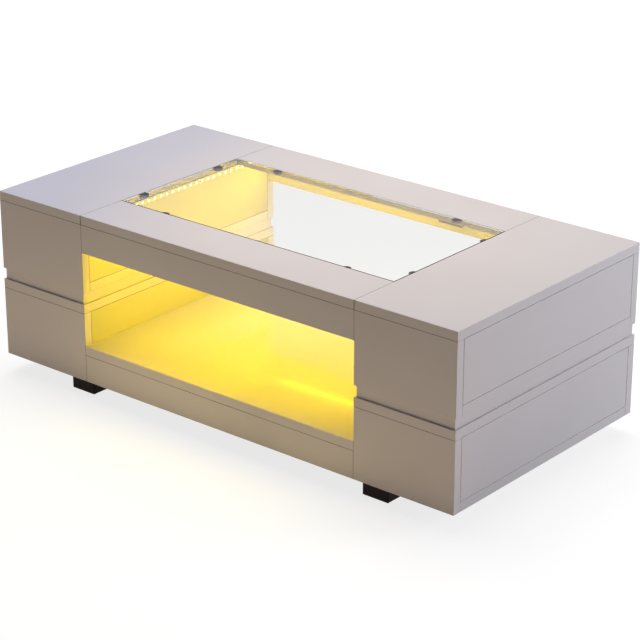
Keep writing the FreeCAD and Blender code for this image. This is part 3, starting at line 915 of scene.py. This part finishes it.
def screw_mesh(head, length):
    """One screw with the top of its head at the origin and its point on +Z."""
    half_side = math.pi / SCREW_SIDES
    mesh = spun(screw_profile(head, length), SCREW_SIDES, -half_side)
    point = [e for e in mesh.edges if e.is_boundary and e.verts[0].co.z > length / 2]
    bmesh.ops.edgeloop_fill(mesh, edges=point)
    cross = close_head(mesh, head * CROSS_SHARE)
    bmesh.ops.recalc_face_normals(mesh, faces=mesh.faces)
    mesh.normal_update()
    bmesh.ops.inset_region(mesh, faces=cross, thickness=RECESS_TAPER, depth=-RECESS_DEPTH)
    return mesh_data("one_screw", mesh)


print("screw with", SCREW_SIDES, "sides")

# %% Copies of the screw
NEAR_RIM = 0.75


def screw_stand(points):
    """Radius of the head, length, and the matrix that puts a screw in its place."""
    low, high = box_of(points)
    size = high - low
    axis = max(range(3), key=lambda i: size[i])
    head = size[(axis + 1) % 3] / 2
    top = (low + high) / 2
    middle = top[axis]
    on_rim = []
    for point in points:
        aside = (point - top).length ** 2 - (point[axis] - middle) ** 2
        if aside > (head * NEAR_RIM) ** 2:
            on_rim.append(point[axis])
    head_is_high = sum(on_rim) / len(on_rim) > middle
    top[axis] = high[axis] if head_is_high else low[axis]
    way = Vector((0, 0, 0))
    way[axis] = -1 if head_is_high else 1
    return head, size[axis], standing(top, way)


templates = {}
screws = bmesh.new()
screw_stands = [screw_stand(points) for points in solid_points("screws")]
for head, length, placing in screw_stands:
    key = round(length, 5)
    if key not in templates:
        templates[key] = screw_mesh(head, length)
    add_copy(screws, templates[key], placing)
screws_piece = new_piece("cross_head_screws", screws, "carcass", "screw_steel", screw_steel)
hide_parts("screws")
print(len(screw_stands), "screws in lengths of", sorted(templates))
print("cross_head_screws", len(screws_piece.data.polygons), "faces")

# %% [markdown]
# ## Studio
# The floor is a wide pale sheet that also serves as the backdrop. It takes the table's shadow as
# a plain surface, and for rays from the camera and through glass it adds a little light of its
# own, so that it looks white without more light on the table. Far from the lamps it adds more, so
# that it stays white up to the horizon. Through the pane it is held a little lower, because the
# pane's own gloss comes on top of it. Gloss shows the floor as well, as a softer grey.

# %% Floor
FLOOR_SIZE = 30.0
FLOOR_DROP = 0.0005
FLOOR_COLOUR = (0.25, 0.245, 0.24, 1.0)
FLOOR_LIFT = 0.79
FLOOR_FAR_LIFT = 0.97
FLOOR_MIRRORED = 0.42
LIT_FLOOR = (1.5, 4.5)
THROUGH_GLASS = 0.86
WHITE = (1.0, 1.0, 1.0, 1.0)


def ray_kinds(tree):
    """1 for rays from gloss, for rays through glass and for rays from the eye, in this order."""
    path = add_node(tree, "LightPath").outputs
    straight = sums(tree, "LESS_THAN", path["Diffuse Depth"], 0.5)
    from_gloss = sums(tree, "MULTIPLY", path["Is Glossy Ray"], straight)
    through = sums(tree, "MULTIPLY", path["Is Transmission Ray"], straight)
    return from_gloss, through, path["Is Camera Ray"]


def seen_background(tree, looked_at, mirrored, otherwise):
    """One strength for the background as the eye sees it, one in gloss and one for other light."""
    from_gloss, through, from_eye = ray_kinds(tree)
    strength = spread(tree, from_gloss, 0.0, 1.0, otherwise, mirrored)
    behind = sums(tree, "MULTIPLY", looked_at, THROUGH_GLASS)
    strength = spread(tree, through, 0.0, 1.0, strength, behind)
    return spread(tree, from_eye, 0.0, 1.0, strength, looked_at)


floor_finish, tree, shader = start_finish("studio_floor")
shader.inputs["Base Color"].default_value = FLOOR_COLOUR
shader.inputs["Roughness"].default_value = 0.9
shader.inputs["Specular IOR Level"].default_value = 0.0
shader.inputs["Emission Color"].default_value = WHITE
from_table = add_node(tree, "VectorMath", {0: object_place(tree)}, operation="LENGTH")
lift = spread(tree, from_table.outputs["Value"], *LIT_FLOOR, FLOOR_LIFT, FLOOR_FAR_LIFT)
feed(tree, shader.inputs["Emission Strength"], seen_background(tree, lift, FLOOR_MIRRORED, 0.0))
floor_mesh = bmesh.new()
bmesh.ops.create_grid(floor_mesh, x_segments=1, y_segments=1, size=FLOOR_SIZE)
floor_data = mesh_data("studio_floor", floor_mesh)
floor_data.materials.append(floor_finish)
floor = bpy.data.objects.new("studio_floor", floor_data)
floor.location.z = cad_low.z - FLOOR_DROP
scene.collection.objects.link(floor)
floor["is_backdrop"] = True
print("floor", FLOOR_SIZE * 2, "m across")

# %% [markdown]
# ## Light
# The photograph's light comes from above and behind, from the left, with a softer, cooler light on
# the right end, and the front stays in the shade, lit by what the floor throws back. Three soft
# lamps and a dim world give that, at a level where the lacquer shows about the colour it was
# given. Polished lacquer also mirrors what lies behind the table, so for gloss alone the world is
# grey, with a cool patch on the left and a pale one straight behind. The compartment is lit by its
# own tape, so the lamps outside are kept off its two walls, which Blender calls light linking.

# %% World
WORLD_LIGHT = 0.09
WORLD_WHITE = 1.0
MIRRORED_GREY = (0.42, 0.42, 0.42, 1.0)
COOL_PATCH = (0.02, 0.20, 0.66, 1.0)
PALE_PATCH = (0.90, 0.80, 0.79, 1.0)
COOL_OVAL = {"turn": -8.0, "height": 17.5, "wide": 7.0, "tall": 3.5}
PALE_OVAL = {"turn": 0.5, "height": 20.1, "wide": 5.4, "tall": 2.0}
OVAL_SOFT = 0.35


def sky_oval(tree, way, turn, height, wide, tall):
    """1 in a soft oval of the sky, to the right of the view by its turn; all in degrees."""
    middle = way_at(VIEW_AZIMUTH - math.radians(turn), math.radians(height))
    off = add_node(tree, "VectorMath", {0: way, 1: middle}, operation="SUBTRACT").outputs[0]
    across = 1 / math.sin(math.radians(wide))
    inputs = {0: off, 1: (across, across, 1 / math.sin(math.radians(tall)))}
    off = add_node(tree, "VectorMath", inputs, operation="MULTIPLY").outputs[0]
    far = add_node(tree, "VectorMath", {0: off}, operation="LENGTH").outputs["Value"]
    return spread(tree, far, 1.0 + OVAL_SOFT, 1.0 - OVAL_SOFT)


world = bpy.data.worlds.new("studio")
scene.world = world
world.use_nodes = True
sky = world.node_tree
background = sky.nodes["Background"]
looking = add_node(sky, "TexCoord").outputs["Generated"]
cool = sky_oval(sky, looking, **COOL_OVAL)
pale = sky_oval(sky, looking, **PALE_OVAL)
mirrored = blend_colours(sky, cool, MIRRORED_GREY, COOL_PATCH)
mirrored = blend_colours(sky, pale, mirrored, PALE_PATCH)
from_gloss = ray_kinds(sky)[0]
feed(sky, background.inputs["Color"], blend_colours(sky, from_gloss, WHITE, mirrored))
feed(sky, background.inputs["Strength"], seen_background(sky, WORLD_WHITE, 1.0, WORLD_LIGHT))
print("world of", len(sky.nodes), "nodes, light", WORLD_LIGHT)

# %% Lamps
def soft_lamp(name, place, target, width, height, power, colour):
    data = bpy.data.lights.new(name, "AREA")
    data.shape = "RECTANGLE"
    data.size = width
    data.size_y = height
    data.energy = power
    data.color = colour
    lamp = bpy.data.objects.new(name, data)
    lamp.location = place
    way = Vector(target) - Vector(place)
    lamp.rotation_euler = way.to_track_quat("-Z", "Y").to_euler()
    lamp.visible_transmission = False
    scene.collection.objects.link(lamp)
    return lamp


def link_lamp(lamp, state, *names):
    """Let a lamp light only some of the nodes (INCLUDE), or all but those (EXCLUDE)."""
    listed = bpy.data.collections.new(lamp.name + "_list")
    for name in names:
        listed.objects.link(nodes[name])
    for member in listed.collection_objects:
        member.light_linking.link_state = state
    lamp.light_linking.receiver_collection = listed


top_lamp = soft_lamp(
    "top_lamp", place=(-0.9, 0.9, 4.2), target=(0, 0, 0.3),
    width=4.0, height=3.2, power=190, colour=(1.0, 0.965, 0.955),
)
end_lamp = soft_lamp(
    "end_lamp", place=(3.0, 2.2, 1.3), target=(0.5, 0.1, 0.25),
    width=1.8, height=1.4, power=103, colour=(0.81, 0.845, 1.0),
)
bounce = soft_lamp(
    "floor_bounce", place=(0, -0.75, 0.01), target=(0, -0.75, 1.0),
    width=3.4, height=0.8, power=5.9, colour=(1.0, 0.75, 0.51),
)
bounce.visible_camera = False
for lamp in (end_lamp, bounce):
    lamp.visible_glossy = False
for lamp in (top_lamp, end_lamp, bounce):
    link_lamp(lamp, "EXCLUDE", "inner_panels")

# %% [markdown]
# ## Glow of the tape
# The chips are tiny and bright, and a picture made from their own light would be full of sparks.
# Together the four rows fill the compartment from its top, so one wide lamp just under the rails
# stands for them all and shines down, and a narrow one beside the front and back rows lifts the
# floor's edges. The rows also shine straight across, which long lamps before them add, with shares
# for the walls and the aprons alone, because the film of a camera shows those about as bright as
# the floor. A thin lamp speckles a board that it nearly touches, so these lamps end short of the
# corners, and most are kept off the rails and aprons beside them. Some of the light falls out in
# front and comes back to the lower apron, and a last, weak lamp stands for that. All of them are
# hidden from the camera, from gloss and from rays through the glass, where the chips show
# themselves.

# %% Wide glow
GLOW_COLOUR = (1.0, 0.745, 0.002)
GLOW_POWER = 1.7
GLOW_DROP = 0.001


def glow_lamp(name, place, way, width, depth, power, colour=GLOW_COLOUR):
    place = Vector(place)
    lamp = soft_lamp(name, place, place + Vector(way), width, depth, power, colour)
    lamp.visible_camera = False
    lamp.visible_glossy = False
    return lamp


DOWN = (0, 0, -1)
row_low, row_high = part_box("led_chips")
row_size = row_high - row_low
under_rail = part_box("front_top_rail")[0].z - GLOW_DROP
glow_lamp("tape_glow", (0, 0, under_rail), DOWN, row_size.x, row_size.y, GLOW_POWER)
print("glow lamp", [round(x, 3) for x in row_size[:2]], "m at", round(under_rail, 3), "m")

# %% Long lamps before the rows
ROW_POWER = 0.75
WALL_POWER = 2.4
EDGE_POWER = 0.55
APRON_POWER = 1.6
ROW_HEIGHT = 0.006
ROW_GAP = 0.004
ROW_END = 0.05
TOO_NEAR = ("front_top_rail", "back_top_rail", "upper_aprons")
BESIDE_WALLS = ("display_floor", *TOO_NEAR)
APRONS = ("upper_aprons",)

row_z = (row_low.z + row_high.z) / 2
left = Vector((row_low.x + ROW_GAP, 0, row_z))
right = Vector((row_high.x - ROW_GAP, 0, row_z))
front = Vector((0, row_low.y + ROW_GAP, row_z))
back = Vector((0, row_high.y - ROW_GAP, row_z))
along = row_size.y - 2 * ROW_END
across = row_size.x - 2 * ROW_END
to_left, to_right, to_front, to_back = (-1, 0, 0), (1, 0, 0), (0, -1, 0), (0, 1, 0)
long_lamps = (
    ("left_row_glow", left, to_right, along, ROW_POWER, "EXCLUDE", TOO_NEAR),
    ("right_row_glow", right, to_left, along, ROW_POWER, "EXCLUDE", TOO_NEAR),
    ("back_row_glow", back, to_front, across, ROW_POWER, "EXCLUDE", TOO_NEAR),
    ("left_row_on_wall", left, to_right, along, WALL_POWER, "EXCLUDE", BESIDE_WALLS),
    ("right_row_on_wall", right, to_left, along, WALL_POWER, "EXCLUDE", BESIDE_WALLS),
    ("front_edge", front, DOWN, across, EDGE_POWER, "EXCLUDE", TOO_NEAR),
    ("front_on_apron", front, to_back, across, APRON_POWER, "INCLUDE", APRONS),
    ("back_edge", back, DOWN, across, EDGE_POWER, "EXCLUDE", TOO_NEAR),
    ("back_on_apron", back, to_front, across, APRON_POWER, "INCLUDE", APRONS),
)
for name, place, way, length, power, state, names in long_lamps:
    lamp = glow_lamp(name, place, way, length, ROW_HEIGHT, power)
    link_lamp(lamp, state, *names)
print(len(long_lamps), "long lamps at", round(row_z, 3), "m")

# %% Light that falls out in front
SPILL_COLOUR = (1.0, 0.84, 0.40)
SPILL_POWER = 0.46
SPILL_PLACE = (0, -0.48, 0.01)
SPILL_SIZE = (0.7, 0.25)
UP = (0, 0, 1)

spill = glow_lamp("floor_spill", SPILL_PLACE, UP, *SPILL_SIZE, SPILL_POWER, SPILL_COLOUR)
link_lamp(spill, "EXCLUDE", "inner_panels")
print("spill lamp", SPILL_SIZE, "m, power", SPILL_POWER)

# %% [markdown]
# ## Size
# The dressed table's size is printed, beside the CAD model's size printed at the start. The
# dressed table has to stay inside the box of the CAD model.

# %% Size
low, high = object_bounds()
print("visual size", [round(length, 4) for length in high - low])
